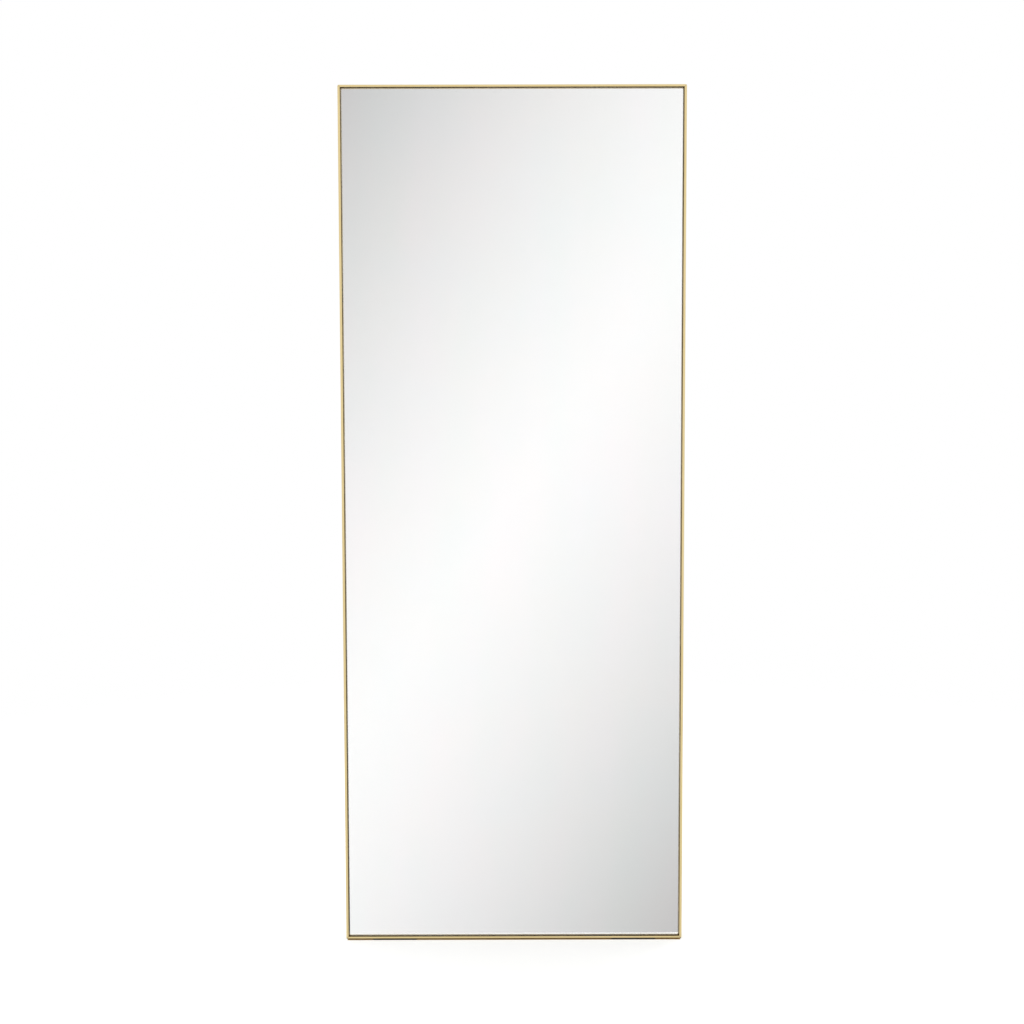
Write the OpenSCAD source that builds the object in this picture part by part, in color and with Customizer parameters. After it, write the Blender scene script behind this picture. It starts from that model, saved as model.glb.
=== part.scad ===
// Full-length rectangular mirror in a thin brass-finish frame, meant to stand on the floor and lean on a wall.
// Four mitred hollow bars hold a silvered glass panel bonded to a backing board that is screwed to their
// rear flanges. The mirror stands upright here: +Z is up, the glass faces -Y, and the origin is on the
// floor, below the middle of the whole object.

/* [Frame] */
// Width over the frame, left edge to right edge
frame_w = 762; // [500:1:1000]
// Height over the frame, without the floor pads
frame_h = 1905; // [1300:1:2200]
// Depth of the bars, front face to back edge
frame_depth = 30; // [28:0.5:45]
// Width of the bright face that the front shows
face_w = 5.5; // [5:0.1:12]
// Thickness of the bars' walls
bar_wall = 1.5; // [1.2:0.1:1.8]
// Rounding of the long front edges of the bars
edge_r = 1; // [0.3:0.1:1.2]
// Rounding of the frame's four outer corners
corner_r = 3; // [1:0.5:3.5]
// Width of the rear flange that the panel is screwed to
flange_w = 30; // [29:1:45]
// Thickness of the rear flange
flange_t = 2; // [1.5:0.1:3]

/* [Panel] */
// How far the glass lies behind the front of the frame
glass_setback = 2; // [0.5:0.5:4]
// Dark gap between the panel and the bars, all round
panel_gap = 1.5; // [1:0.5:6]
// Thickness of the glass
glass_t = 5; // [4:0.5:6]
// Width of the ground bevel on the edges of the glass
arris = 0.7; // [0.5:0.1:1.5]
// Thickness of the silver coating and its back paint
coating_t = 0.1; // [0.1:0.1:0.3]
// How far the coating ends short of the edge of the glass
coating_inset = 0.7; // [0.7:0.1:4]
// Thickness of the safety film
film_t = 0.3; // [0.2:0.1:0.6]
// How far the safety film ends short of the edge of the glass
film_inset = 3; // [1:0.5:10]
// Thickness of the foam tape that bonds the glass to the board
tape_t = 1; // [0.5:0.1:2]
// Width of one strip of foam tape
tape_w = 19; // [10:1:30]
// How far the foam tape ends short of the edge of the panel
tape_inset = 40; // [20:5:90]
// Number of strips of foam tape
tape_count = 5; // [3:1:8]
// Thickness of the backing board
board_t = 9; // [6:0.5:10]

/* [Panel supports] */
// Length of a setting block under the panel
block_len = 60; // [30:5:100]
// Distance from a side of the frame to the middle of a setting block
block_inset = 190; // [120:5:220]
// Length of a spacer beside or above the panel
spacer_len = 40; // [20:5:80]
// Distance from the top or bottom of the frame to the middle of a side spacer
spacer_inset = 450; // [200:10:560]
// How far the blocks and spacers lie behind the front of the glass, out of sight
block_setback = 1.5; // [1:0.5:3]

/* [Corner cleats] */
// Length of each leg of a cleat, from the frame's outer corner
cleat_len = 60; // [50:1:90]
// Play between a cleat and the walls of the hollow
cleat_clear = 0.1; // [0.05:0.05:0.2]
// Distance from the frame's outer corner to a cleat's screw
cleat_screw_at = 40; // [20:1:44]
// Radius of a cleat's screw
cleat_screw_r = 2; // [1.5:0.1:2]
// Radius of the domed head of a cleat's screw
cleat_head_r = 3.8; // [3:0.1:3.8]
// Height of the domed head of a cleat's screw
cleat_head_h = 2.2; // [1.6:0.1:2.4]
// Width across the flats of the socket in a cleat's screw
socket_af = 2.5; // [2:0.1:3]

/* [Screws into the board] */
// Radius of the screws that go into the backing board
screw_r = 1.75; // [1.5:0.05:1.9]
// Radius of their heads
head_r = 3.5; // [3:0.1:3.8]
// Height of their heads
head_h = 2.2; // [1.6:0.1:2.6]
// Board left in front of the tips of the screws
tip_cover = 1; // [0.8:0.1:3]
// Screws along each stile
stile_screws = 6; // [3:1:9]
// Screws along the top and bottom rails
rail_screws = 2; // [1:1:5]
// Distance from the end of a stile to its first screw
screw_margin = 120; // [95:5:160]

/* [Hangers] */
// Width of a hanger's strap
strap_w = 16; // [12:0.5:16.4]
// Thickness of a hanger's strap
strap_t = 1.5; // [1.2:0.1:2]
// Length of a strap below the axis of its ring
strap_len = 46; // [44:1:60]
// Distance from the ring's axis to the upper screw
strap_screw_at = 23; // [23:0.5:25]
// Distance between a strap's two screws
strap_screw_pitch = 15; // [10:0.5:16]
// Radius of the ring's wire
wire_r = 1.6; // [1.2:0.1:1.7]
// Distance from the middle of the ring to the middle of its wire
ring_r = 12; // [11.5:0.1:12.4]
// Bend radius of the two corners of the ring
ring_elbow_r = 3; // [2.4:0.1:3.2]
// Play of the wire in its knuckle
knuckle_clear = 0.08; // [0.04:0.01:0.1]
// Height of the knuckle above the flange
knuckle_lift = 0.3; // [0.2:0.1:0.8]

/* [Wall bumpers and floor pads] */
// Radius of a wall bumper
bumper_r = 9; // [6:0.5:11]
// How far a bumper stands out behind the frame
bumper_proud = 3; // [1:0.5:8]
// Rubber between a bumper's screw head and the flange
bumper_base = 5; // [3:0.5:6]
// Distance from the end of a stile to the middle of a bumper
bumper_at = 62; // [56:1:78]
// Thickness of a floor pad
pad_t = 2; // [1:0.5:6]
// Length of a floor pad
pad_len = 100; // [40:5:160]
// Distance from a side of the frame to the middle of a floor pad
pad_inset = 110; // [90:5:180]
// How far a floor pad ends short of the front and back of the rail
pad_setback = 0.5; // [0:0.5:6]

/* [Hidden] */
$fn = 48;

// Small named clearances and overshoots
cut = 1;
hole_clear = 0.15;
thread_clear = 0.05;
tip_clear = 0.4;
head_gap = 0.8;
counterbore_clear = 0.8;
socket_depth = 1.3;
recess_w = 1;
recess_depth = 1.2;
head_chamfer = 0.6;
cleat_head_chamfer = 1.2;
rubber_chamfer = 1;

// Depths, counted from the front of the frame towards the wall
coating_y = glass_setback + glass_t;
film_y = coating_y + coating_t;
tape_y = film_y + film_t;
board_y = tape_y + tape_t;
flange_y = board_y + board_t;
flange_back = flange_y + flange_t;
total_depth = frame_depth + bumper_proud;

// The panel that the bars surround
panel_x = face_w + panel_gap;
panel_w = frame_w - 2 * panel_x;
panel_h = frame_h - 2 * panel_x;

// Lines that the screws follow
flange_mid = face_w + flange_w / 2;
stile_pitch = (frame_h - 2 * screw_margin) / (stile_screws - 1);
panel_screw_zs = [for (i = [0:stile_screws - 1]) screw_margin + i * stile_pitch];
panel_screw_xs = [for (i = [1:rail_screws]) frame_w * i / (rail_screws + 1)];
hanger_z = frame_h - screw_margin - stile_pitch / 2;
hanger_screw_zs = [hanger_z - strap_screw_at, hanger_z - strap_screw_at - strap_screw_pitch];
bumper_zs = [bumper_at, frame_h - bumper_at];
stile_holes = concat(panel_screw_zs, hanger_screw_zs, bumper_zs);

// The cleats in the hollows
cleat_low = bar_wall + cleat_clear;
cleat_high = face_w - bar_wall - cleat_clear;
cleat_screw_y = flange_back + cleat_head_r + head_gap;

// The hangers
knuckle_r = wire_r + knuckle_clear + strap_t;
knuckle_y = flange_back + knuckle_lift + knuckle_r;

// Length of the screws' bite in the board
bite = board_t - tip_cover;

// Moves what is drawn from the frame's lower left front corner to its place over the origin.
module in_frame() {
    translate([-frame_w / 2, -total_depth / 2, pad_t]) children();
}

// Mirrors what is drawn for the lower left corner to the named corner.
module at_corner(right = false, top = false) {
    translate([right ? frame_w : 0, 0, top ? frame_h : 0])
        mirror([right ? 1 : 0, 0, 0])
        mirror([0, 0, top ? 1 : 0])
        children();
}

// Extrudes a shape drawn in X and Z backwards, from one depth to another.
module between_depths(near, far) {
    translate([0, far, 0]) rotate([90, 0, 0]) linear_extrude(far - near) children();
}

// A hole or shank along Y, from one depth to another.
module rod_y(r, x, z, near, far) {
    translate([x, far, z]) rotate([90, 0, 0]) cylinder(r = r, h = far - near);
}

// A hole or shank along X, from one place to another.
module rod_x(r, from, to, y, z) {
    translate([from, y, z]) rotate([0, 90, 0]) cylinder(r = r, h = to - from);
}

// Section of a bar: a closed hollow with rounded front edges, and the flange behind the panel.
module bar_section() {
    difference() {
        union() {
            translate([0, edge_r]) square([face_w, frame_depth - edge_r]);
            translate([edge_r, 0]) square([face_w - 2 * edge_r, frame_depth]);
            translate([edge_r, edge_r]) circle(r = edge_r);
            translate([face_w - edge_r, edge_r]) circle(r = edge_r);
            translate([0, flange_y]) square([face_w + flange_w, flange_t]);
        }
        translate([bar_wall, bar_wall]) square([face_w - 2 * bar_wall, frame_depth - 2 * bar_wall]);
    }
}

// What a rounded outer corner leaves out of a square one.
module corner_waste() {
    between_depths(-cut, frame_depth + cut)
        difference() {
            translate([-cut, -cut]) square(corner_r + cut);
            translate([corner_r, corner_r]) circle(r = corner_r);
        }
}

// A bar that stands along Z, mitred at both ends, with its outer side on x = 0.
module bar(length, flange_holes) {
    reach = face_w + flange_w;
    difference() {
        intersection() {
            linear_extrude(length) bar_section();
            between_depths(-cut, frame_depth + cut)
                polygon([[0, 0], [reach, reach], [reach, length - reach], [0, length]]);
        }
        corner_waste();
        translate([0, 0, length]) mirror([0, 0, 1]) corner_waste();
        for (z = [cleat_screw_at, length - cleat_screw_at])
            rod_x(cleat_screw_r + hole_clear, face_w - bar_wall - cut / 2, face_w + cut / 2, cleat_screw_y, z);
        for (z = flange_holes)
            rod_y(screw_r + hole_clear, flange_mid, z, flange_y - cut / 2, flange_back + cut / 2);
    }
}

module stile(right) {
    color("burlywood") in_frame() at_corner(right) bar(frame_h, stile_holes);
}

module rail(top) {
    color("burlywood") in_frame() at_corner(false, top) mirror([1, 0, -1]) bar(frame_w, panel_screw_xs);
}

// An angle that fills the hollows of two bars where they meet.
module corner_cleat(right, top) {
    color("silver") in_frame() at_corner(right, top)
        difference() {
            between_depths(cleat_low, frame_depth - cleat_low)
                polygon([
                    [cleat_low, cleat_low], [cleat_len, cleat_low], [cleat_len, cleat_high],
                    [cleat_high, cleat_high], [cleat_high, cleat_len], [cleat_low, cleat_len],
                ]);
            cleat_thread();
            mirror([1, 0, -1]) cleat_thread();
        }
}

module cleat_thread() {
    rod_x(cleat_screw_r + thread_clear, cleat_low - cut / 2, cleat_high + cut / 2, cleat_screw_y, cleat_screw_at);
}

// A socket-head screw along -X, its head on the inner wall of a bar.
module cleat_screw() {
    translate([face_w, cleat_screw_y, cleat_screw_at]) rotate([0, 90, 0])
        difference() {
            union() {
                translate([0, 0, bar_wall + tip_clear - face_w])
                    cylinder(r = cleat_screw_r, h = face_w - bar_wall - tip_clear);
                cylinder(r = cleat_head_r, h = cleat_head_h - cleat_head_chamfer);
                translate([0, 0, cleat_head_h - cleat_head_chamfer])
                    cylinder(r1 = cleat_head_r, r2 = cleat_head_r - cleat_head_chamfer, h = cleat_head_chamfer);
            }
            translate([0, 0, cleat_head_h - socket_depth])
                cylinder(d = socket_af / cos(30), h = socket_depth + cut, $fn = 6);
        }
}

module cleat_screws() {
    color("gainsboro") in_frame()
        for (right = [false, true], top = [false, true])
            at_corner(right, top) {
                cleat_screw();
                mirror([1, 0, -1]) cleat_screw();
            }
}

// A sheet of the panel, drawn back from the panel's edge by inset.
module panel_sheet(inset, near, thickness) {
    translate([panel_x + inset, near, panel_x + inset])
        cube([panel_w - 2 * inset, thickness, panel_h - 2 * inset]);
}

// Section of the glass across one of its widths, with both long edges ground on each side.
module glass_section(width) {
    polygon([
        [0, arris], [arris, 0], [width - arris, 0], [width, arris],
        [width, glass_t - arris], [width - arris, glass_t], [arris, glass_t], [0, glass_t - arris],
    ]);
}

module mirror_glass() {
    color("lightcyan") in_frame() translate([panel_x, glass_setback, panel_x])
        intersection() {
            linear_extrude(panel_h) glass_section(panel_w);
            mirror([1, 0, -1]) linear_extrude(panel_w) glass_section(panel_h);
        }
}

module silver_coating() {
    color("silver") in_frame() panel_sheet(coating_inset, coating_y, coating_t);
}

module safety_film() {
    color("whitesmoke") in_frame() panel_sheet(film_inset, film_y, film_t);
}

// Upright strips of foam tape, evenly spread between the safety film and the board.
module foam_tapes() {
    first = panel_x + tape_inset;
    pitch = (panel_w - 2 * tape_inset - tape_w) / (tape_count - 1);
    color("white") in_frame()
        for (i = [0:tape_count - 1])
            translate([first + i * pitch, tape_y, panel_x + tape_inset])
                cube([tape_w, tape_t, panel_h - 2 * tape_inset]);
}

// The backing board with a pilot hole for each screw.
module backing_board() {
    pilot_front = flange_y - bite - tip_clear;
    color("tan") in_frame()
        difference() {
            panel_sheet(0, board_y, board_t);
            for (z = stile_holes, x = [flange_mid, frame_w - flange_mid])
                rod_y(screw_r + thread_clear, x, z, pilot_front, flange_y + cut);
            for (x = panel_screw_xs, z = [flange_mid, frame_h - flange_mid])
                rod_y(screw_r + thread_clear, x, z, pilot_front, flange_y + cut);
        }
}

// A cross-recessed screw along -Y, its tip in the board and the underside of its head at depth seat.
module board_screw(x, z, seat) {
    translate([x, seat, z]) rotate([-90, 0, 0])
        difference() {
            union() {
                translate([0, 0, flange_y - bite - seat]) cylinder(r = screw_r, h = seat + bite - flange_y);
                cylinder(r = head_r, h = head_h - head_chamfer);
                translate([0, 0, head_h - head_chamfer])
                    cylinder(r1 = head_r, r2 = head_r - head_chamfer, h = head_chamfer);
            }
            for (turn = [0, 90])
                rotate([0, 0, turn])
                    translate([-head_r / 2, -recess_w / 2, head_h - recess_depth])
                    cube([head_r, recess_w, recess_depth + cut]);
        }
}

module panel_screws() {
    color("gainsboro") in_frame() {
        for (z = panel_screw_zs, x = [flange_mid, frame_w - flange_mid]) board_screw(x, z, flange_back);
        for (x = panel_screw_xs, z = [flange_mid, frame_h - flange_mid]) board_screw(x, z, flange_back);
    }
}

// A rubber block as thick as the gap, on a bar's inner side, its middle at x.
module gap_block(x, length) {
    near = glass_setback + block_setback;
    translate([x - length / 2, near, face_w]) cube([length, flange_y - near, panel_gap]);
}

module setting_blocks() {
    color("dimgray") in_frame()
        for (x = [block_inset, frame_w - block_inset]) gap_block(x, block_len);
}

module edge_spacers() {
    color("dimgray") in_frame() {
        for (x = [block_inset, frame_w - block_inset])
            at_corner(top = true) gap_block(x, spacer_len);
        for (right = [false, true], z = [spacer_inset, frame_h - spacer_inset])
            at_corner(right) mirror([1, 0, -1]) gap_block(z, spacer_len);
    }
}

// A rounded strap on the flange that rolls up into a knuckle round the ring's wire.
module hanger_strap(right) {
    color("silver") in_frame() at_corner(right) translate([flange_mid, 0, hanger_z])
        difference() {
            union() {
                translate([-strap_w / 2, flange_back, strap_w / 2 - strap_len])
                    cube([strap_w, strap_t, strap_len - strap_w / 2]);
                rod_y(strap_w / 2, 0, strap_w / 2 - strap_len, flange_back, flange_back + strap_t);
                rod_x(knuckle_r, -strap_w / 2, strap_w / 2, knuckle_y, 0);
            }
            rod_x(wire_r + knuckle_clear, -strap_w / 2 - cut, strap_w / 2 + cut, knuckle_y, 0);
            for (z = hanger_screw_zs)
                rod_y(screw_r + hole_clear, 0, z - hanger_z, flange_back - cut, flange_back + strap_t + cut);
        }
}

// A bent wire in the X and Z plane, round the origin from +X towards +Z.
module wire_arc(bend_r, angle) {
    rotate([90, 0, 0]) rotate_extrude(angle = angle) translate([bend_r, 0]) circle(r = wire_r);
}

// A D-shaped wire ring that hangs from its straight side in the knuckle.
module hanger_ring(right) {
    straight = ring_r - ring_elbow_r;
    color("gainsboro") in_frame() at_corner(right) translate([flange_mid, knuckle_y, hanger_z]) {
        rod_x(wire_r, -straight, straight, 0, 0);
        for (side = [0, 1])
            mirror([side, 0, 0]) translate([straight, 0, -ring_elbow_r]) wire_arc(ring_elbow_r, 90);
        translate([0, 0, -ring_elbow_r]) rotate([0, 180, 0]) wire_arc(ring_r, 180);
    }
}

module hanger_screws() {
    color("gainsboro") in_frame()
        for (z = hanger_screw_zs, x = [flange_mid, frame_w - flange_mid])
            board_screw(x, z, flange_back + strap_t);
}

// A rubber buffer on the flange that reaches past the back of the frame, with its screw sunk in it.
module wall_bumper(right, top) {
    height = frame_depth + bumper_proud - flange_back;
    color("dimgray") in_frame() at_corner(right, top)
        translate([flange_mid, flange_back, bumper_at]) rotate([-90, 0, 0])
        difference() {
            union() {
                cylinder(r = bumper_r, h = height - rubber_chamfer);
                translate([0, 0, height - rubber_chamfer])
                    cylinder(r1 = bumper_r, r2 = bumper_r - rubber_chamfer, h = rubber_chamfer);
            }
            translate([0, 0, -cut]) cylinder(r = screw_r + hole_clear, h = height + 2 * cut);
            translate([0, 0, bumper_base]) cylinder(r = head_r + counterbore_clear, h = height);
        }
}

module bumper_screws() {
    color("gainsboro") in_frame()
        for (z = bumper_zs, x = [flange_mid, frame_w - flange_mid])
            board_screw(x, z, flange_back + bumper_base);
}

// A rubber strip under the bottom rail.
module floor_pad(right) {
    color("dimgray") in_frame() at_corner(right)
        translate([pad_inset - pad_len / 2, pad_setback, -pad_t])
        cube([pad_len, frame_depth - 2 * pad_setback, pad_t]);
}

rail(top = true);  // top_rail
rail(top = false);  // bottom_rail
stile(right = false);  // left_stile
stile(right = true);  // right_stile
corner_cleat(right = false, top = true);  // cleat_top_left
corner_cleat(right = true, top = true);  // cleat_top_right
corner_cleat(right = false, top = false);  // cleat_bottom_left
corner_cleat(right = true, top = false);  // cleat_bottom_right
cleat_screws();
mirror_glass();
silver_coating();
safety_film();
foam_tapes();
backing_board();
panel_screws();
setting_blocks();
edge_spacers();
hanger_strap(right = false);  // hanger_strap_left
hanger_strap(right = true);  // hanger_strap_right
hanger_ring(right = false);  // hanger_ring_left
hanger_ring(right = true);  // hanger_ring_right
hanger_screws();
wall_bumper(right = false, top = true);  // bumper_top_left
wall_bumper(right = true, top = true);  // bumper_top_right
wall_bumper(right = false, top = false);  // bumper_bottom_left
wall_bumper(right = true, top = false);  // bumper_bottom_right
bumper_screws();
floor_pad(right = false);  // floor_pad_left
floor_pad(right = true);  // floor_pad_right
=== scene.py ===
"""Full-length rectangular mirror in a thin brass-finish frame: detailed pieces, finishes and a plain studio.

Lengths are in metres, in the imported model's frame: +Z is up, the glass faces -Y, the origin is on the floor.
"""
import logging
import math
from abc import ABC, abstractmethod
from collections.abc import Callable, Iterable, Sequence
from dataclasses import dataclass
from enum import Enum
from functools import cache

import bmesh
import bpy
from bmesh.types import BMEdge, BMesh, BMFace, BMVert
from bpy.types import Camera, Light, Material, Mesh, NodeSocket, NodeTree, Object, World
from mathutils import Matrix, Vector


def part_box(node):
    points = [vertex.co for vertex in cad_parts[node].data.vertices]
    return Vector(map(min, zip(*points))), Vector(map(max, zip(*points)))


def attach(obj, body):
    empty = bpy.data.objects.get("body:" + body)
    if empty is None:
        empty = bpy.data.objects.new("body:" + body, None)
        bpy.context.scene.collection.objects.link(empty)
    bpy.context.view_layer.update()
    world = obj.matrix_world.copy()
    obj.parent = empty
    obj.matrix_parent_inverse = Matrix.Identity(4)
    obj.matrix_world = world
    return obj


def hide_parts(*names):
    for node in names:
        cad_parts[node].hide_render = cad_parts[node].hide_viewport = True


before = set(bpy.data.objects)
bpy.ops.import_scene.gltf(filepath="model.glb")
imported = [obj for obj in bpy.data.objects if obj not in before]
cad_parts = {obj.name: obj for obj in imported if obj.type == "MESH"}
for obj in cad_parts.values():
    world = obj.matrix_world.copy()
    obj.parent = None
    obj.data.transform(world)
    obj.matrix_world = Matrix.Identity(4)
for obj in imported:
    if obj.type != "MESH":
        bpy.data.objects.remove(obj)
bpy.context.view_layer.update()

LOG = logging.getLogger("mirror")
MM = 0.001
TOUCH = 0.01 * MM
SHARP_ANGLE = math.radians(35)  # a sharper bend between two faces is shaded as an edge
SQUARE_ON = 0.9  # least part of a face's normal along the axis that the face looks along
NOISE_LOW, NOISE_HIGH = 0.3, 0.7  # nearly all of the noise lies between these
WHITE = "#FFFFFF"
ALONG_X = Matrix.Rotation(math.pi / 2, 4, "Y")
ALONG_Y = Matrix.Rotation(-math.pi / 2, 4, "X")
SWAP_X_AND_Z = Matrix(((0, 0, 1, 0), (0, 1, 0, 0), (1, 0, 0, 0), (0, 0, 0, 1)))
MIRROR_X = Matrix.Diagonal((-1, 1, 1, 1))
MIRROR_Z = Matrix.Diagonal((1, 1, -1, 1))

Colour = tuple[float, float, float, float]
Triple = tuple[float, float, float]


class Grain(Enum):
    """The direction that a bar was drawn and brushed in."""

    UPRIGHT = "upright"
    LEVEL = "level"


class Drive(Enum):
    """The recess in a screw's head."""

    CROSS = "cross"
    HEXAGON = "hexagon"


def linear(hex_colour: str) -> Colour:
    """Turns an sRGB hex colour into linear light.

    Args:
        hex_colour: A # and six hex digits.

    Returns:
        Linear red, green and blue, and an alpha of one.
    """
    channels = [int(hex_colour[i:i + 2], 16) / 255 for i in (1, 3, 5)]
    red, green, blue = (c / 12.92 if c <= 0.04045 else ((c + 0.055) / 1.055) ** 2.4 for c in channels)
    return red, green, blue, 1.0


def add(tree: NodeTree, kind: str, inputs: dict | None = None, **settings: object) -> NodeSocket | None:
    """Adds one node with its settings and links.

    Args:
        tree: The node tree that gets the node.
        kind: Blender's name for the kind of node.
        inputs: A socket's name or number, and its value or the output that feeds it.
        settings: The node's own properties.

    Returns:
        The first of the node's outputs that its settings leave in use, or None if it has none.
    """
    node = tree.nodes.new(kind)
    for name, value in settings.items():
        setattr(node, name, value)
    for socket, value in (inputs or {}).items():
        if isinstance(value, NodeSocket):
            tree.links.new(value, node.inputs[socket])
        else:
            node.inputs[socket].default_value = value
    return next((output for output in node.outputs if output.enabled), None)


def empty_tree(owner: Material | World) -> NodeTree:
    """Empties the node tree of a material or a world.

    Args:
        owner: The material or the world.

    Returns:
        Its node tree.
    """
    owner.use_nodes = True
    owner.node_tree.nodes.clear()
    return owner.node_tree


def noise(tree: NodeTree, place: NodeSocket, grain: Sequence[float], detail: float = 3.0) -> NodeSocket:
    """Draws cloudy noise whose grains have a real size, and stretches its useful middle.

    Args:
        tree: The node tree.
        place: Coordinates in metres.
        grain: Size of one grain along X, Y and Z, in metres.
        detail: Octaves of finer noise.

    Returns:
        The noise, from zero to one.
    """
    stretch = [1 / size for size in grain]
    scaled = add(tree, "ShaderNodeVectorMath", {0: place, 1: stretch}, operation="MULTIPLY")
    drawn = add(tree, "ShaderNodeTexNoise", {"Vector": scaled, "Scale": 1.0, "Detail": detail})
    middle = {"Value": drawn, "From Min": NOISE_LOW, "From Max": NOISE_HIGH}
    return add(tree, "ShaderNodeMapRange", middle)


@dataclass(frozen=True, kw_only=True)
class Finish(ABC):
    """A surface finish: a Principled shader whose colour, gloss and relief follow a pattern."""

    name: str
    deep: str
    pale: str
    roughness: tuple[float, float]
    relief: float = 0.0  # none leaves an even gloss
    metallic: float = 0.0
    transmission: float = 0.0
    refraction: float = 1.5

    @abstractmethod
    def pattern(self, tree: NodeTree, place: NodeSocket) -> tuple[NodeSocket, NodeSocket]:
        """Draws the pattern.

        Args:
            tree: The material's node tree.
            place: Object coordinates, in metres.

        Returns:
            The tone, from deep to pale, and the grain that the gloss and the relief follow.
        """

    def surface(self, tree: NodeTree, place: NodeSocket) -> NodeSocket:
        """Makes the finish's shader.

        Args:
            tree: The material's node tree.
            place: Object coordinates, in metres.

        Returns:
            The shader's output.
        """
        tone, grain = self.pattern(tree, place)
        colours = {0: tone, 6: linear(self.deep), 7: linear(self.pale)}
        look = {
            "Base Color": add(tree, "ShaderNodeMix", colours, data_type="RGBA"),
            "Metallic": self.metallic, "Roughness": self.roughness[0],
            "Transmission Weight": self.transmission, "IOR": self.refraction,
        }
        if self.relief:
            gloss = {"Value": grain, "To Min": self.roughness[0], "To Max": self.roughness[1]}
            look["Roughness"] = add(tree, "ShaderNodeMapRange", gloss)
            look["Normal"] = add(tree, "ShaderNodeBump", {"Height": grain, "Distance": self.relief})
        return add(tree, "ShaderNodeBsdfPrincipled", look)


@cache
def material(finish: Finish) -> Material:
    """Makes a finish's material once.

    Args:
        finish: The finish to make.

    Returns:
        Its material.
    """
    made = bpy.data.materials.new(finish.name)
    tree = empty_tree(made)
    surface = finish.surface(tree, add(tree, "ShaderNodeTexCoord").node.outputs["Object"])
    add(tree, "ShaderNodeOutputMaterial", {"Surface": surface})
    return made


@dataclass(frozen=True, kw_only=True)
class SatinBrass(Finish):
    """Extruded aluminium, brushed, then anodised brass: a pale gold satin sheen with lines along the bar."""

    grain: Grain
    deep: str = "#DFC990"
    pale: str = "#EBD7A4"
    roughness: tuple[float, float] = (0.36, 0.32)
    relief: float = 0.002 * MM
    metallic: float = 1.0
    line_width: float = 0.5 * MM  # real lines are about 0.2 mm apart, too fine to show
    line_length: float = 90 * MM
    cloud: float = 140 * MM
    cloud_share: float = 0.4

    def pattern(self, tree: NodeTree, place: NodeSocket) -> tuple[NodeSocket, NodeSocket]:
        """Draws lines along the bar, over slow clouds.

        Args:
            tree: The material's node tree.
            place: Object coordinates, in metres.

        Returns:
            The clouded lines, and the lines alone.
        """
        sizes = [self.line_width] * 3
        sizes[2 if self.grain is Grain.UPRIGHT else 0] = self.line_length
        lines = noise(tree, place, sizes)
        clouds = noise(tree, place, [self.cloud] * 3, 2.0)
        return add(tree, "ShaderNodeMix", {0: self.cloud_share, 2: lines, 3: clouds}), lines


@dataclass(frozen=True, kw_only=True)
class Skin(Finish):
    """A skin whose tone drifts in clouds, and whose gloss and relief follow a finer grain."""

    cloud: Triple
    grain: Triple | None = None

    def pattern(self, tree: NodeTree, place: NodeSocket) -> tuple[NodeSocket, NodeSocket]:
        """Clouds the skin and gives it its grain, if it has one."""
        clouds = noise(tree, place, self.cloud)
        return clouds, noise(tree, place, self.grain) if self.grain else clouds


@dataclass(frozen=True, kw_only=True)
class SandedFibreboard(Finish):
    """Medium-density fibreboard, wide-belt sanded: matt tan, a felt of short fibres that lie all ways."""

    deep: str = "#A4835A"
    pale: str = "#CEAF85"
    roughness: tuple[float, float] = (0.74, 0.86)
    relief: float = 0.012 * MM
    fibre_width: float = 1.2 * MM  # real fibres are about 0.1 mm wide, too fine to show
    fibre_length: float = 6 * MM
    fibre_share: float = 0.3
    lays: tuple[float, ...] = (0.3, 1.2, 1.9, 2.8)  # angles of the fibres, in radians
    cloud: float = 90 * MM

    def pattern(self, tree: NodeTree, place: NodeSocket) -> tuple[NodeSocket, NodeSocket]:
        """Lays fibres all ways over a clouded ground.

        Args:
            tree: The material's node tree.
            place: Object coordinates, in metres.

        Returns:
            The felt, both as tone and as grain.
        """
        felt = noise(tree, place, [self.cloud] * 3, 4.0)
        for angle in self.lays:
            turn = {"Vector": place, "Angle": angle}
            turned = add(tree, "ShaderNodeVectorRotate", turn, rotation_type="Y_AXIS")
            fibres = noise(tree, turned, (self.fibre_length, self.fibre_width, self.fibre_width))
            felt = add(tree, "ShaderNodeMix", {0: self.fibre_share, 2: felt, 3: fibres})
        return felt, felt


UPRIGHT_BRASS = SatinBrass(name="brushed_brass_anodising_upright", grain=Grain.UPRIGHT)
LEVEL_BRASS = SatinBrass(name="brushed_brass_anodising_level", grain=Grain.LEVEL)

# Aluminium, sawn after anodising: the bare grey metal that a mitre shows, with fine blade marks
SAWN_ALUMINIUM = Skin(
    name="sawn_aluminium", deep="#7E8082", pale="#989A9B", cloud=(4 * MM,) * 3, roughness=(0.38, 0.52),
    grain=(0.4 * MM, 6 * MM, 0.4 * MM), relief=0.004 * MM, metallic=1.0,
)
# Steel, zinc-plated and clear-passivated: silvery with faint blue and straw clouds and a soft gloss
ZINC = Skin(
    name="bright_zinc_plating", deep="#B4BAC0", pale="#C6C4BA", cloud=(5 * MM,) * 3, roughness=(0.2, 0.36),
    grain=(0.7 * MM,) * 3, relief=0.0016 * MM, metallic=1.0,
)
# Zinc alloy, pressure die-cast and left raw: dull grey with a fine sandy skin and flow clouds
CASTING = Skin(
    name="raw_zinc_casting", deep="#86888A", pale="#A9ABAC", cloud=(12 * MM,) * 3, roughness=(0.45, 0.6),
    grain=(0.4 * MM,) * 3, relief=0.012 * MM, metallic=1.0,
)
# Clear float glass as it leaves the bath: glossy, colourless face on, with slow streams of a trace of green
GLASS = Skin(
    name="clear_float_glass", deep=WHITE, pale="#FDFFFE", cloud=(160 * MM, 160 * MM, 640 * MM),
    roughness=(0.0, 0.0), transmission=1.0, refraction=1.52,
)
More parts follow.
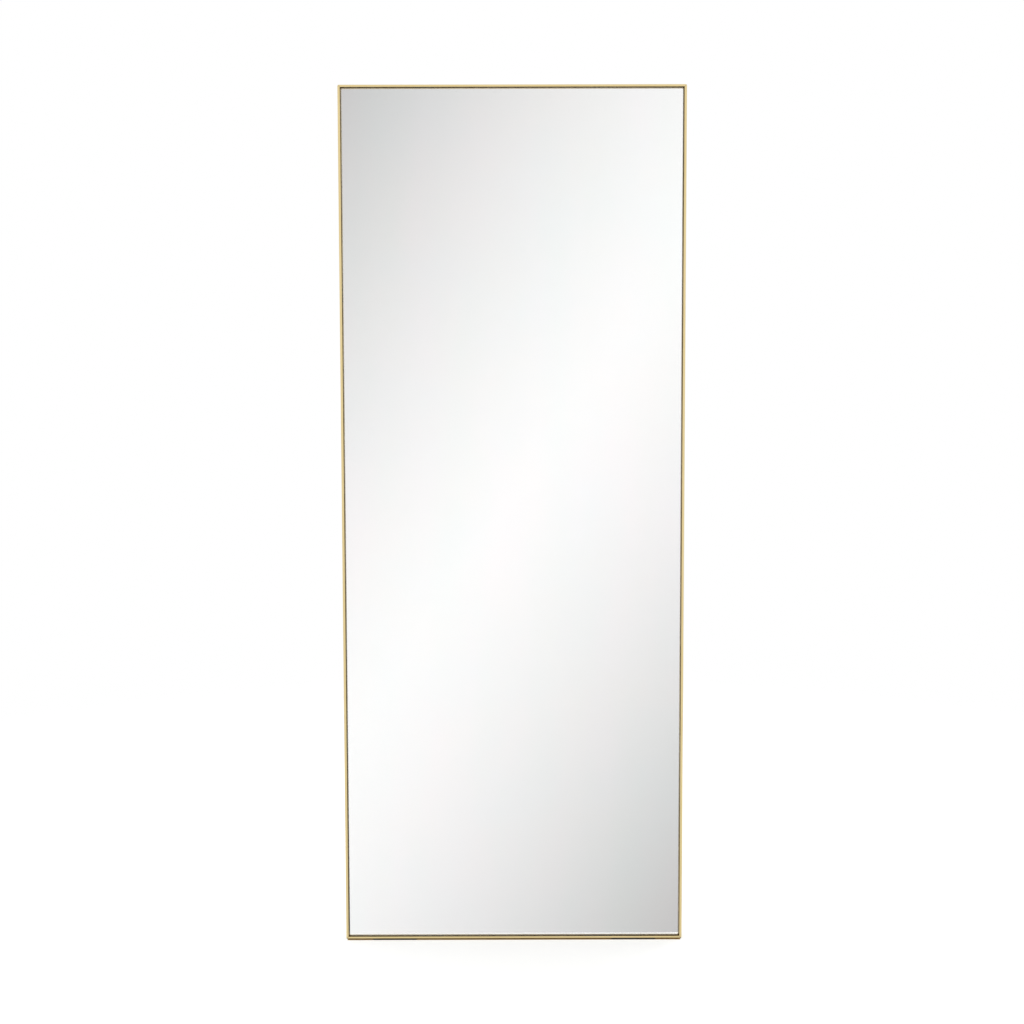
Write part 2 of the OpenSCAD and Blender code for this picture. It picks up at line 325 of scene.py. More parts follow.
# The edge of the glass, ground and polished: clear, with wheel marks, and tinted warm cream as painted light,
# the brass-coloured glow that the gap round the glass shows
GLASS_EDGE = Skin(
    name="glass_edge_painted_brass_light", deep="#D2B67E", pale="#E5CFA2", cloud=(0.6 * MM,) * 3,
    roughness=(0.03, 0.12), grain=(0.6 * MM,) * 3, relief=0.0008 * MM, transmission=1.0, refraction=1.52,
)
# Silver, deposited from solution on the back of the glass: a near-perfect, faintly warm mirror
SILVER = Skin(
    name="silvering", deep="#F9F8F9", pale="#FBF8F8", cloud=(220 * MM,) * 3, roughness=(0.0, 0.0),
    metallic=1.0,
)
# Curtain-coated back paint over the silver: warm grey with a slight orange peel
BACK_PAINT = Skin(
    name="warm_grey_back_paint", deep="#85796C", pale="#958A7C", cloud=(30 * MM,) * 3,
    roughness=(0.4, 0.55), grain=(2.5 * MM,) * 3, relief=0.008 * MM,
)
# Clear polyester safety film on its adhesive: glossy, slightly milky, with fine waves across its roll
FILM = Skin(
    name="polyester_safety_film", deep="#DDE6EA", pale="#EDF2F4", cloud=(110 * MM, 18 * MM, 18 * MM),
    roughness=(0.12, 0.22), grain=(110 * MM, 18 * MM, 18 * MM), relief=0.012 * MM,
)
# Closed-cell polyethylene foam tape, knife-cut: matt white, with open cells about half a millimetre wide
FOAM = Skin(
    name="white_polyethylene_foam", deep="#D9D9D4", pale="#F1F1EE", cloud=(0.5 * MM,) * 3,
    roughness=(0.8, 0.9), grain=(0.5 * MM,) * 3, relief=0.1 * MM,
)
# Black rubber, compression-moulded in a spark-eroded mould: matt, fine-grained, with a trace of bloom
RUBBER = Skin(
    name="moulded_black_rubber", deep="#1C1C1D", pale="#303031", cloud=(8 * MM,) * 3,
    roughness=(0.62, 0.82), grain=(0.45 * MM,) * 3, relief=0.02 * MM,
)
BOARD_FACE = SandedFibreboard(name="sanded_fibreboard")
# The sawn edge of the fibreboard: darker than its faces, matt and fuzzy, with its pressed layers showing
BOARD_EDGE = Skin(
    name="sawn_fibreboard_edge", deep="#6F5233", pale="#9A7850", cloud=(12 * MM, 0.6 * MM, 12 * MM),
    roughness=(0.88, 0.95), grain=(0.8 * MM,) * 3, relief=0.06 * MM,
)


def as_mesh(name: str, bm: BMesh) -> Mesh:
    """Turns a bmesh into a mesh, and frees it.

    Args:
        name: The mesh's name.
        bm: The bmesh.

    Returns:
        The mesh.
    """
    mesh = bpy.data.meshes.new(name)
    bm.to_mesh(mesh)
    bm.free()
    return mesh


def as_shape(bm: BMesh) -> Mesh:
    """Turns a closed bmesh into a shape to copy, with its faces outwards, and frees it."""
    bmesh.ops.recalc_face_normals(bm, faces=bm.faces)
    return as_mesh("shape", bm)


def add_object(name: str, data: Mesh | Light | Camera) -> Object:
    """Puts an object into the scene.

    Args:
        name: Its name.
        data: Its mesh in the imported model's frame, or its lamp or camera.

    Returns:
        The object.
    """
    made = bpy.data.objects.new(name, data)
    bpy.context.scene.collection.objects.link(made)
    return made


def add_piece(
    name: str, bm: BMesh, finishes: Sequence[Finish], node: str, body: str = "mirror"
) -> None:
    """Turns a bmesh into a finished piece that stands for its CAD node, and reports it.

    Args:
        name: The piece's name.
        bm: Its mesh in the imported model's frame, which is freed.
        finishes: Its finishes, in the order of its faces' material numbers.
        node: The CAD node that it replaces.
        body: The body that it rides on.
    """
    for edge in bm.edges:
        edge.smooth = edge.calc_face_angle(0.0) < SHARP_ANGLE
    for face in bm.faces:
        face.smooth = True
    piece = add_object(name, as_mesh(name, bm))
    for finish in finishes:
        piece.data.materials.append(material(finish))
    shading = piece.modifiers.new("flat_faces_stay_flat", "WEIGHTED_NORMAL")
    shading.keep_sharp = True
    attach(piece, body)
    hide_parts(node)
    LOG.info("%s: %d faces on %s, for %s", name, len(piece.data.polygons), body, node)


def dress_node(name: str, finish: Finish) -> None:
    """Gives a CAD node that stays in view its finish, and reports it.

    Args:
        name: The node.
        finish: Its finish.
    """
    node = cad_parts[name]
    if not node.material_slots:
        node.data.materials.append(material(finish))
    for slot in node.material_slots:
        slot.material = material(finish)
    LOG.info("%s: the CAD solid, in %s", name, finish.name)


def of_kind(parts: Iterable, kind: type) -> list:
    """Picks the vertices, the edges or the faces among parts of a mesh."""
    return [part for part in parts if isinstance(part, kind)]


def region(faces: Iterable[BMFace]) -> list:
    """Lists faces with their edges, so that extruding them leaves no old face inside."""
    return [*faces, *{edge for face in faces for edge in face.edges}]


def extrude(bm: BMesh, faces: Sequence[BMFace], vec: Triple) -> list[BMFace]:
    """Extrudes faces together.

    Args:
        bm: The mesh.
        faces: The faces to extrude.
        vec: How far and where to.

    Returns:
        The faces at the new end.
    """
    made = bmesh.ops.extrude_face_region(bm, geom=region(faces))["geom"]
    bmesh.ops.translate(bm, vec=vec, verts=of_kind(made, BMVert))
    return of_kind(made, BMFace)


def edges_where(bm: BMesh, test: Callable[[Vector, Vector], bool]) -> list[BMEdge]:
    """Picks the edges whose two ends pass a test."""
    return [edge for edge in bm.edges if test(edge.verts[0].co, edge.verts[1].co)]


def round_edges(bm: BMesh, edges: Sequence[BMEdge], radius: float, segments: int) -> list[BMFace]:
    """Rounds edges, or chamfers them with one segment.

    Args:
        bm: The mesh.
        edges: The edges to round.
        radius: Radius of the rounding, or width of the chamfer.
        segments: Faces across the rounding.

    Returns:
        The new faces.
    """
    return bmesh.ops.bevel(
        bm, geom=edges, offset=radius, offset_type="OFFSET", segments=segments, profile=0.5,
        affect="EDGES", clamp_overlap=False, material=-1,
    )["faces"]


def second_finish(bm: BMesh, test: Callable[[BMFace], bool]) -> None:
    """Gives the faces that pass a test the second finish of their piece, and the others the first."""
    for face in bm.faces:
        face.material_index = int(test(face))


def block(low: Vector, high: Vector) -> BMesh:
    """Starts a mesh as a rectangular block.

    Args:
        low: Its lowest corner.
        high: Its highest corner.

    Returns:
        The mesh.
    """
    bm = bmesh.new()
    grow = Matrix.Diagonal((*(high - low), 1))
    bmesh.ops.create_cube(bm, size=1, matrix=Matrix.Translation((low + high) / 2) @ grow)
    return bm


def copies(shape: Mesh, places: Iterable[Matrix]) -> BMesh:
    """Puts copies of a shape into one new mesh.

    Args:
        shape: The shape, with its faces outwards.
        places: Where the copies go. Where a place mirrors, the faces are turned back outwards.

    Returns:
        The mesh.
    """
    bm = bmesh.new()
    for place in places:
        verts, faces = len(bm.verts), len(bm.faces)
        bm.from_mesh(shape)
        bm.verts.ensure_lookup_table()
        bm.faces.ensure_lookup_table()
        bmesh.ops.transform(bm, matrix=place, verts=bm.verts[verts:])
        if place.determinant() < 0:
            bmesh.ops.reverse_faces(bm, faces=bm.faces[faces:])
    return bm


@dataclass
class MirrorFrame:
    """The four mitred bars. A bar is modelled along Z, its outer side on X = 0 and its face on Y = 0."""

    corner: Vector  # lower left front corner of the frame
    width: float
    height: float
    reach: float  # of a bar across the frame, from its outer side to the edge of its flange
    depth: float = 30 * MM
    wall: float = 1.5 * MM
    outer_radius: float = 2.2 * MM
    inner_radius: float = 0.8 * MM
    rear_radius: float = 0.3 * MM
    corner_radius: float = 3 * MM
    corner_steps: int = 2
    outer_steps: int = 5
    inner_steps: int = 4
    flange_width: float = 30 * MM
    flange_front: float = 17.4 * MM
    flange_back: float = 19.4 * MM
    seam: float = 0.25 * MM
    end_skin: float = 0.05 * MM
    end_cut: float = 12 * MM  # past the rounded corners, so that no long face is a sliver
    flat_angle: float = math.radians(0.5)  # faces that bend less are one face
    steepness: float = 1.05  # least rise over run of an edge along the bar, as a mitre's is one
    mitre_play: float = 0.01  # largest error of a mitre's normal

    @property
    def face(self) -> float:
        """Width of the bright face."""
        return self.reach - self.flange_width

    @property
    def flange_middle(self) -> float:
        """Distance from a side of the frame to the line of screws on its flange."""
        return self.face + self.flange_width / 2

    def place(self, right: bool, top: bool) -> Matrix:
        """Finds where what is modelled for the lower left corner goes, mirrored for the other corners."""
        move = Matrix.Translation(self.corner + Vector((self.width * right, 0, self.height * top)))
        return move @ (MIRROR_X if right else Matrix()) @ (MIRROR_Z if top else Matrix())

    def outline(self, bm: BMesh, near: float, far: float, radius: float, length: float) -> None:
        """Draws the face of a mitred bar on Y = 0.

        Args:
            bm: The mesh that gets it.
            near: Distance of its outer side from the frame's side.
            far: Distance of its inner side.
            radius: Rounding of the frame's outer corners.
            length: Length of the bar.
        """
        start = bm.verts.new((near, 0, near + radius))
        last = start
        if radius:
            centre = (near + radius, 0, near + radius)
            arc = bmesh.ops.spin(
                bm, geom=[start], cent=centre, axis=(0, 1, 0), angle=-math.pi / 4, steps=self.corner_steps
            )
            last = of_kind(arc["geom_last"], BMVert)[0]
        path = [bm.verts.new(point) for point in ((far, 0, far), (far, 0, length / 2))]
        bm.edges.new((bm.verts.new((near, 0, length / 2)), start))
        bm.edges.new((last, path[0]))
        bm.edges.new(path)
        to_middle = Matrix.Translation((0, 0, -length / 2))
        bmesh.ops.mirror(bm, geom=bm.verts[:] + bm.edges[:], matrix=to_middle, axis="Z")
        bmesh.ops.remove_doubles(bm, verts=bm.verts, dist=TOUCH)
        bmesh.ops.contextual_create(bm, geom=bm.edges[:])

    def pull_ends(self, bm: BMesh, verts: Iterable[BMVert], length: float, pull: float) -> None:
        """Pulls the vertices near both ends of a bar towards its middle.

        Args:
            bm: The bar's mesh.
            verts: The vertices to pull.
            length: Length of the bar.
            pull: How far each end moves.
        """
        for end, way in ((0, 1), (length, -1)):
            near = [vert for vert in verts if abs(vert.co.z - end) < length / 4]
            bmesh.ops.translate(bm, vec=(0, 0, way * pull), verts=near)

    def hollow(self, length: float) -> Mesh:
        """Models the hollow of a bar, its faces turned into the hollow.

        Args:
            length: Length of the bar.

        Returns:
            The hollow's shape.
        """
        bm = bmesh.new()
        self.outline(bm, self.wall, self.face - self.wall, 0.0, length)
        bmesh.ops.translate(bm, vec=(0, self.wall, 0), verts=bm.verts)
        extrude(bm, bm.faces[:], (0, self.depth - 2 * self.wall, 0))
        self.pull_ends(bm, bm.verts, length, self.end_skin)
        shape = as_shape(bm)
        shape.flip_normals()
        return shape

    def add_flange(self, bm: BMesh, length: float) -> None:
        """Draws the flange out of the bar's inner side, with mitred ends.

        Args:
            bm: The bar's mesh.
            length: Length of the bar.
        """
        middle = (self.flange_front + self.flange_back) / 2
        root = [
            face for face in bm.faces
            if abs(face.calc_center_median().y - middle) < TOUCH and face.normal.x > SQUARE_ON
        ]
        lip = extrude(bm, root, (self.flange_width, 0, 0))
        self.pull_ends(bm, {vert for face in lip for vert in face.verts}, length, self.flange_width)

    def is_long(self, one: Vector, other: Vector, depth: float) -> bool:
        """Tells whether an edge between two points is a long one or a corner's arc, at a depth."""
        level = abs(one.y - depth) < TOUCH and abs(other.y - depth) < TOUCH
        return level and abs(one.z - other.z) > self.steepness * abs(one.x - other.x)

    def is_mitre(self, face: BMFace) -> bool:
        """Tells whether a face of the bar is one of its two sawn ends."""
        errors = (abs(abs(face.normal.x) - abs(face.normal.z)), abs(face.normal.y))
        return max(errors) < self.mitre_play and face.calc_area() > self.face * self.face

    def bar(self, length: float) -> Mesh:
        """Models a bar: its tube, its flange, rounded long edges and fine chamfers along the mitres.

        Args:
            length: Length of the bar.

        Returns:
            The bar's shape.
        """
        bm = bmesh.new()
        self.outline(bm, 0.0, self.face, self.corner_radius, length)
        layer = bm.faces[:]
        deep = 0.0
        for back in (self.flange_front, self.flange_back, self.depth):
            layer = extrude(bm, layer, (0, back - deep, 0))
            deep = back
        bmesh.ops.recalc_face_normals(bm, faces=bm.faces)
        self.add_flange(bm, length)
        bmesh.ops.dissolve_limit(bm, angle_limit=self.flat_angle, verts=bm.verts[:], edges=bm.edges[:])
        for depth, outer, inner in (
            (0.0, self.outer_radius, self.inner_radius), (self.depth, self.rear_radius, self.rear_radius)
        ):
            long = edges_where(bm, lambda a, b: self.is_long(a, b, depth))
            near = [edge for edge in long if edge.verts[0].co.x < self.face / 2]
            far = [edge for edge in long if edge not in near]
            round_edges(bm, near, outer, self.outer_steps)
            round_edges(bm, far, inner, self.inner_steps)
        second_finish(bm, self.is_mitre)
        seams = [edge for edge in bm.edges if len({self.is_mitre(face) for face in edge.link_faces}) == 2]
        for face in round_edges(bm, seams, self.seam, 1):
            face.material_index = 1
        bmesh.ops.recalc_face_normals(bm, faces=bm.faces)
        for cut in (self.end_cut, length - self.end_cut):
            whole = bm.verts[:] + bm.edges[:] + bm.faces[:]
            bmesh.ops.bisect_plane(bm, geom=whole, dist=TOUCH, plane_co=(0, 0, cut), plane_no=(0, 0, 1))
        bm.from_mesh(self.hollow(length))
        return as_mesh("bar", bm)

    def build(self) -> None:
        """Builds and dresses the four bars."""
        stile, rail = self.bar(self.height), self.bar(self.width)
        for node, shape, place, finish in (
            ("left_stile", stile, self.place(False, False), UPRIGHT_BRASS),
            ("right_stile", stile, self.place(True, False), UPRIGHT_BRASS),
            ("bottom_rail", rail, self.place(False, False) @ SWAP_X_AND_Z, LEVEL_BRASS),
            ("top_rail", rail, self.place(False, True) @ SWAP_X_AND_Z, LEVEL_BRASS),
        ):
            add_piece(f"{node}_bar", copies(shape, [place]), [finish, SAWN_ALUMINIUM], node)


@dataclass
class MirrorPanel:
    """The glass with its silvering, film and tape, on the backing board, and the rubber round it."""

    arris: float = 0.7 * MM
    glass_corner: float = 3 * MM
    corner_steps: int = 6
    silver_clearance: float = 0.05 * MM
    board_round: float = 0.4 * MM

    def pane(self, node: str, clearance: float) -> BMesh:
        """Starts a pane with rounded corners, in the place of a CAD node.

        Args:
            node: The CAD node.
            clearance: What is taken off its back.

        Returns:
            The pane's mesh.
        """
        low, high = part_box(node)
        bm = block(low, high - Vector((0, clearance, 0)))
        upright = edges_where(bm, lambda a, b: abs(a.y - b.y) > TOUCH)
        round_edges(bm, upright, self.glass_corner, self.corner_steps)
        return bm

    def glass(self) -> None:
        """Builds the pane, with its ground and varnished edges."""
        bm = self.pane("mirror_glass", self.silver_clearance)
        round_edges(bm, edges_where(bm, lambda a, b: abs(a.y - b.y) < TOUCH), self.arris, 1)
        second_finish(bm, lambda face: abs(face.normal.y) < SQUARE_ON)
        add_piece("float_glass_pane", bm, [GLASS, GLASS_EDGE], "mirror_glass")

    def silver(self) -> None:
        """Builds the silver coating, with its back paint behind and round it."""
        bm = self.pane("silver_coating", 0.0)
        second_finish(bm, lambda face: face.normal.y > -SQUARE_ON)
        add_piece("silver_and_back_paint", bm, [SILVER, BACK_PAINT], "silver_coating")

    def board(self) -> None:
        """Builds the backing board, sanded on its faces and sawn round its edges."""
        bm = block(*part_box("backing_board"))
        round_edges(bm, bm.edges[:], self.board_round, 2)
        second_finish(bm, lambda face: abs(face.normal.y) <= 0.5)
        add_piece("fibreboard_back", bm, [BOARD_FACE, BOARD_EDGE], "backing_board")

    def build(self) -> None:
        """Builds the panel and dresses the CAD pieces in it."""
        self.glass()
        self.silver()
        self.board()
        dress_node("safety_film", FILM)
        dress_node("foam_tapes", FOAM)
        dress_node("setting_blocks", RUBBER)
        dress_node("edge_spacers", RUBBER)


@dataclass
class RubberFeet:
    """The four wall bumpers and the two floor pads."""

    bars: MirrorFrame
    bumper_at: float = 62 * MM
    bumper_radius: float = 9 * MM
    bumper_height: float = 13.6 * MM
    bumper_base: float = 5 * MM
    bumper_sides: int = 48
    bore_radius: float = 4.3 * MM
    rim_round: float = 1.5 * MM
    bore_round: float = 0.4 * MM
    pad_corner: float = 3 * MM
    pad_round: float = 0.3 * MM

    def bumper(self) -> Mesh:
        """Models a bumper: a round buffer with a counterbore for its screw, and rounded rims.

        Returns:
            The bumper's shape, its rear towards +Y.
        """
        bm = bmesh.new()
        bmesh.ops.create_cone(
            bm, cap_ends=True, segments=self.bumper_sides, radius1=self.bumper_radius,
            radius2=self.bumper_radius, depth=self.bumper_height,
            matrix=Matrix.Translation((0, 0, self.bumper_height / 2)),
        )
        rear = max(bm.faces, key=lambda face: face.calc_center_median().z)
        bmesh.ops.inset_region(bm, faces=[rear], thickness=self.bumper_radius - self.bore_radius)
        extrude(bm, [rear], (0, 0, self.bumper_base - self.bumper_height))
        level = self.bumper_height - TOUCH
        limit = (self.bumper_radius + self.bore_radius) / 2
        rims = edges_where(bm, lambda a, b: min(a.z, b.z) > level and min(a.xy.length, b.xy.length) > limit)
        round_edges(bm, rims, self.rim_round, 5)
        bores = edges_where(bm, lambda a, b: min(a.z, b.z) > level and max(a.xy.length, b.xy.length) < limit)
        round_edges(bm, bores, self.bore_round, 2)
        shape = as_shape(bm)
        shape.transform(ALONG_Y)
        return shape

    def pad(self, side: str) -> None:
        """Builds a floor pad: a strip with rounded corners and soft edges.

        Args:
            side: left or right.
        """
        bm = block(*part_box(f"floor_pad_{side}"))
        round_edges(bm, edges_where(bm, lambda a, b: abs(a.z - b.z) > TOUCH), self.pad_corner, 4)
        round_edges(bm, edges_where(bm, lambda a, b: abs(a.z - b.z) < TOUCH), self.pad_round, 2)
        add_piece(f"floor_pad_{side}_strip", bm, [RUBBER], f"floor_pad_{side}")

    def build(self) -> None:
        """Builds the bumpers and the pads."""
        shape = self.bumper()
        spot = Matrix.Translation((self.bars.flange_middle, self.bars.flange_back, self.bumper_at))
        for level, top in (("bottom", False), ("top", True)):
            for side, right in (("left", False), ("right", True)):
                node = f"bumper_{level}_{side}"
                bm = copies(shape, [self.bars.place(right, top) @ spot])
                add_piece(f"{node}_buffer", bm, [RUBBER], node)
        for side in ("left", "right"):
            self.pad(side)


@dataclass
class Screw:
    """A screw along Z, its tip downwards and the underside of its head on Z = 0."""

    drive: Drive
    shank_radius: float
    shank_length: float
    head_radius: float
    head_height: float
    dome: float
    recess: float  # half the cross's width, or the hexagon's radius
    recess_depth: float
    recess_taper: float = 0.8
    sides: int = 32
    dome_steps: int = 4
    wing: float = 0.5 * MM  # half the width of the cross's wings
    point: float = 2 * MM
    point_taper: float = 0.25

    def cut_recess(self, bm: BMesh) -> None:
        """Sinks the recess from the top of the head, open at its rim.

        Args:
            bm: The screw's mesh.
        """
        top = Matrix.Translation((0, 0, self.head_height))
        if self.drive is Drive.HEXAGON:
            made = bmesh.ops.create_circle(bm, cap_ends=True, segments=6, radius=self.recess, matrix=top)
        else:
            made = bmesh.ops.create_grid(bm, x_segments=3, y_segments=3, size=1.0, matrix=top)
        floor = list({face for vert in made["verts"] for face in vert.link_faces})
        if self.drive is Drive.CROSS:
            for vert in made["verts"]:
                for axis in (0, 1):
                    reach = self.recess if abs(vert.co[axis]) > 2 / 3 else self.wing
                    vert.co[axis] = math.copysign(reach, vert.co[axis])
            middle = (self.recess + self.wing) / 2 - TOUCH
            corners = [face for face in floor if min(map(abs, face.calc_center_median().xy)) > middle]
            floor = [face for face in floor if face not in corners]
            bmesh.ops.delete(bm, geom=corners, context="FACES")
        sunk = extrude(bm, floor, (0, 0, -self.recess_depth))
        bmesh.ops.delete(bm, geom=floor, context="FACES")
        verts = list({vert for face in sunk for vert in face.verts})
        bmesh.ops.scale(bm, vec=(self.recess_taper, self.recess_taper, 1), verts=verts)

    def shape(self, way: Matrix) -> Mesh:
        """Models the screw: shank with a point, domed head and recess.

        Args:
            way: Turns it from Z to where its head points.

        Returns:
            The screw's shape.
        """
        bm = bmesh.new()
        bmesh.ops.create_cone(
            bm, cap_ends=True, segments=self.sides, radius1=self.head_radius, radius2=self.head_radius,
            depth=self.head_height, matrix=Matrix.Translation((0, 0, self.head_height / 2)),
        )
        rim = edges_where(bm, lambda a, b: min(a.z, b.z) > self.head_height - TOUCH)
        round_edges(bm, rim, self.dome, self.dome_steps)
        caps = [face for face in bm.faces if len(face.verts) == self.sides]
        seat, top = sorted(caps, key=lambda face: face.calc_center_median().z)
        bmesh.ops.delete(bm, geom=[top], context="FACES_ONLY")
        bmesh.ops.inset_region(bm, faces=[seat], thickness=self.head_radius - self.shank_radius)
        for reach, taper in ((self.shank_length - self.point, 1.0), (self.point, self.point_taper)):
            seat = extrude(bm, [seat], (0, 0, -reach))[0]
            bmesh.ops.scale(bm, vec=(taper, taper, 1), verts=seat.verts)
        self.cut_recess(bm)
        rims = [edge for edge in bm.edges if edge.is_boundary]
        bmesh.ops.triangle_fill(bm, edges=rims, use_beauty=True)
        shape = as_shape(bm)
        shape.transform(way)
        return shape


@dataclass
class Fixings:
    """All the screws, each kind one piece for one CAD node."""

    bars: MirrorFrame
    feet: RubberFeet
    board_bite: float = 8 * MM
    screw_margin: float = 120 * MM
    stile_screws: int = 6
    rail_screws: int = 2
    strap_thickness: float = 1.5 * MM
    strap_screw_at: float = 23 * MM
    strap_screw_pitch: float = 15 * MM
    cleat_screw_at: float = 40 * MM
    cleat_screw_depth: float = 24 * MM
    cleat_screw_end: float = 0.4 * MM  # from its tip to the bar's outer wall
    turn: int = 37  # degrees from one cross to the next, as hands leave them

    @property
    def stile_pitch(self) -> float:
        """Distance between two screws on a stile."""
        return (self.bars.height - 2 * self.screw_margin) / (self.stile_screws - 1)

    @property
    def hanger_height(self) -> float:
        """Height of the rings' axis above the lower corner of the frame."""
        return self.bars.height - self.screw_margin - self.stile_pitch / 2

    def board_screws(
        self, node: str, lift: float, heights: Sequence[float], on_rails: Sequence[Matrix] = ()
    ) -> None:
        """Builds one kind of pan-head screws, which go through the flanges into the board.

        Args:
            node: The CAD node that they replace.
            lift: Distance from the flange's back to the undersides of the heads.
            heights: Their heights on each stile, above the lower corner of the frame.
            on_rails: Where further ones go.
        """
        bars = self.bars
        seat = bars.flange_back + lift
        screw = Screw(
            Drive.CROSS, shank_radius=1.75 * MM, shank_length=seat - bars.flange_front + self.board_bite,
            head_radius=3.5 * MM, head_height=2.2 * MM, dome=1.1 * MM, recess=1.8 * MM, recess_depth=1.2 * MM,
        )
        spots = [Matrix.Translation((bars.flange_middle, seat, height)) for height in heights]
        places = [bars.place(right, False) @ spot for right in (False, True) for spot in spots]
        turned = [
            place @ Matrix.Rotation(math.radians(self.turn * number % 90), 4, "Y")
            for number, place in enumerate([*places, *on_rails])
        ]
        name = f"{node.removesuffix('s')}_set"
        add_piece(name, copies(screw.shape(ALONG_Y), turned), [ZINC], node)

    def cleat_screws(self) -> None:
        """Builds the socket-head screws through the bars' inner walls into the cleats."""
        bars = self.bars
        screw = Screw(
            Drive.HEXAGON, shank_radius=2 * MM, shank_length=bars.face - bars.wall - self.cleat_screw_end,
            head_radius=3.8 * MM, head_height=2.2 * MM, dome=1.2 * MM, recess=1.44 * MM,
            recess_depth=1.3 * MM, point=1 * MM,
        )
        spot = Matrix.Translation((bars.face, self.cleat_screw_depth, self.cleat_screw_at))
        places = [
            bars.place(right, top) @ swap @ spot
            for right in (False, True) for top in (False, True) for swap in (Matrix(), SWAP_X_AND_Z)
        ]
        add_piece(
            "cleat_screw_set", copies(screw.shape(ALONG_X), places), [ZINC], "cleat_screws"
        )

    def build(self) -> None:
        """Builds every screw."""
        bars = self.bars
        heights = [self.screw_margin + number * self.stile_pitch for number in range(self.stile_screws)]
        shares = [(number + 1) / (self.rail_screws + 1) for number in range(self.rail_screws)]
        on_rails = [
            bars.place(False, top)
            @ Matrix.Translation((bars.width * share, bars.flange_back, bars.flange_middle))
            for share in shares for top in (False, True)
        ]
        self.board_screws("panel_screws", 0.0, heights, on_rails)
        lower = self.hanger_height - self.strap_screw_at
        self.board_screws("hanger_screws", self.strap_thickness, [lower, lower - self.strap_screw_pitch])
        ends = [self.feet.bumper_at, bars.height - self.feet.bumper_at]
        self.board_screws("bumper_screws", self.feet.bumper_base, ends)
        self.cleat_screws()


@dataclass
class Hanger:
    """A strap with a rolled knuckle and the D-ring in it, about the ring's axis on the flange's back."""

    bars: MirrorFrame
    fixings: Fixings
    right: bool
    strap_width: float = 16 * MM
    strap_length: float = 46 * MM
    foot_steps: int = 12
    knuckle_root: float = 4 * MM
    knuckle_lift: float = 0.3 * MM
    knuckle_turn: float = math.radians(300)
    knuckle_steps: int = 30
    wire_radius: float = 1.6 * MM
    wire_play: float = 0.08 * MM
    wire_sides: int = 20
    ring_radius: float = 12 * MM
    elbow_radius: float = 3 * MM
    elbow_steps: int = 8
    bow_steps: int = 40
    edge_round: float = 0.2 * MM
    edge_angle: float = math.radians(60)  # least bend of an edge that is rounded

    @property
    def axis_depth(self) -> float:
        """Distance from the flange's back to the ring's axis."""
        return self.knuckle_lift + self.fixings.strap_thickness + self.wire_play + self.wire_radius

    def place(self) -> Matrix:
        """Finds where the hanger goes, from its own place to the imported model's frame."""
        spot = (self.bars.flange_middle, self.bars.flange_back, self.fixings.hanger_height)
        return self.bars.place(self.right, False) @ Matrix.Translation(spot)

    def strap(self) -> Mesh:
        """Models the strap: a plate with a round end, rolled over the wire at its top.

        Returns:
            The strap's shape.
        """
        half = self.strap_width / 2
        low = Vector((-half, 0, -self.strap_length))
        bm = block(low, Vector((half, self.fixings.strap_thickness, -self.knuckle_root)))
        foot = edges_where(bm, lambda a, b: abs(a.y - b.y) > TOUCH and max(a.z, b.z) < low.z + TOUCH)
        round_edges(bm, foot, half, self.foot_steps)
        bmesh.ops.remove_doubles(bm, verts=bm.verts, dist=TOUCH)
        top = max(bm.faces, key=lambda face: face.calc_center_median().z)
        end = extrude(bm, [top], (0, self.knuckle_lift, self.knuckle_root))
        bmesh.ops.spin(
            bm, geom=region(end), cent=(0, self.axis_depth, 0), axis=(1, 0, 0),
            angle=-self.knuckle_turn, steps=self.knuckle_steps,
        )
        sharp = [edge for edge in bm.edges if edge.calc_face_angle(0.0) > self.edge_angle]
        round_edges(bm, sharp, self.edge_round, 2)
        return as_shape(bm)

    def ring(self) -> Mesh:
        """Models the D-ring: round wire along an elbow, a bow, another elbow and a straight.

        Returns:
            The ring's shape.
        """
        bm = bmesh.new()
        straight = self.ring_radius - self.elbow_radius
        start = Matrix.Translation((straight, self.axis_depth, 0)) @ ALONG_X
        made = bmesh.ops.create_circle(bm, segments=self.wire_sides, radius=self.wire_radius, matrix=start)
        tip = list({edge for vert in made["verts"] for edge in vert.link_edges})
        elbow, bow = (90, self.elbow_steps), (180, self.bow_steps)
        for across, (angle, steps) in ((straight, elbow), (0, bow), (-straight, elbow)):
            turned = bmesh.ops.spin(
                bm, geom=tip, cent=(across, self.axis_depth, -self.elbow_radius), axis=(0, 1, 0),
                angle=math.radians(angle), steps=steps,
            )
            tip = of_kind(turned["geom_last"], BMEdge)
        grown = bmesh.ops.extrude_edge_only(bm, edges=tip)["geom"]
        bmesh.ops.translate(bm, vec=(2 * straight, 0, 0), verts=of_kind(grown, BMVert))
        bmesh.ops.remove_doubles(bm, verts=bm.verts, dist=TOUCH)
        return as_shape(bm)

    def build(self) -> None:
        """Builds the strap and its ring."""
        side = "right" if self.right else "left"
        for part, shape, body in (("strap", self.strap(), "mirror"), ("ring", self.ring(), f"ring_{side}")):
            node = f"hanger_{part}_{side}"
            add_piece(f"{node}_zinc", copies(shape, [self.place()]), [ZINC], node, body)


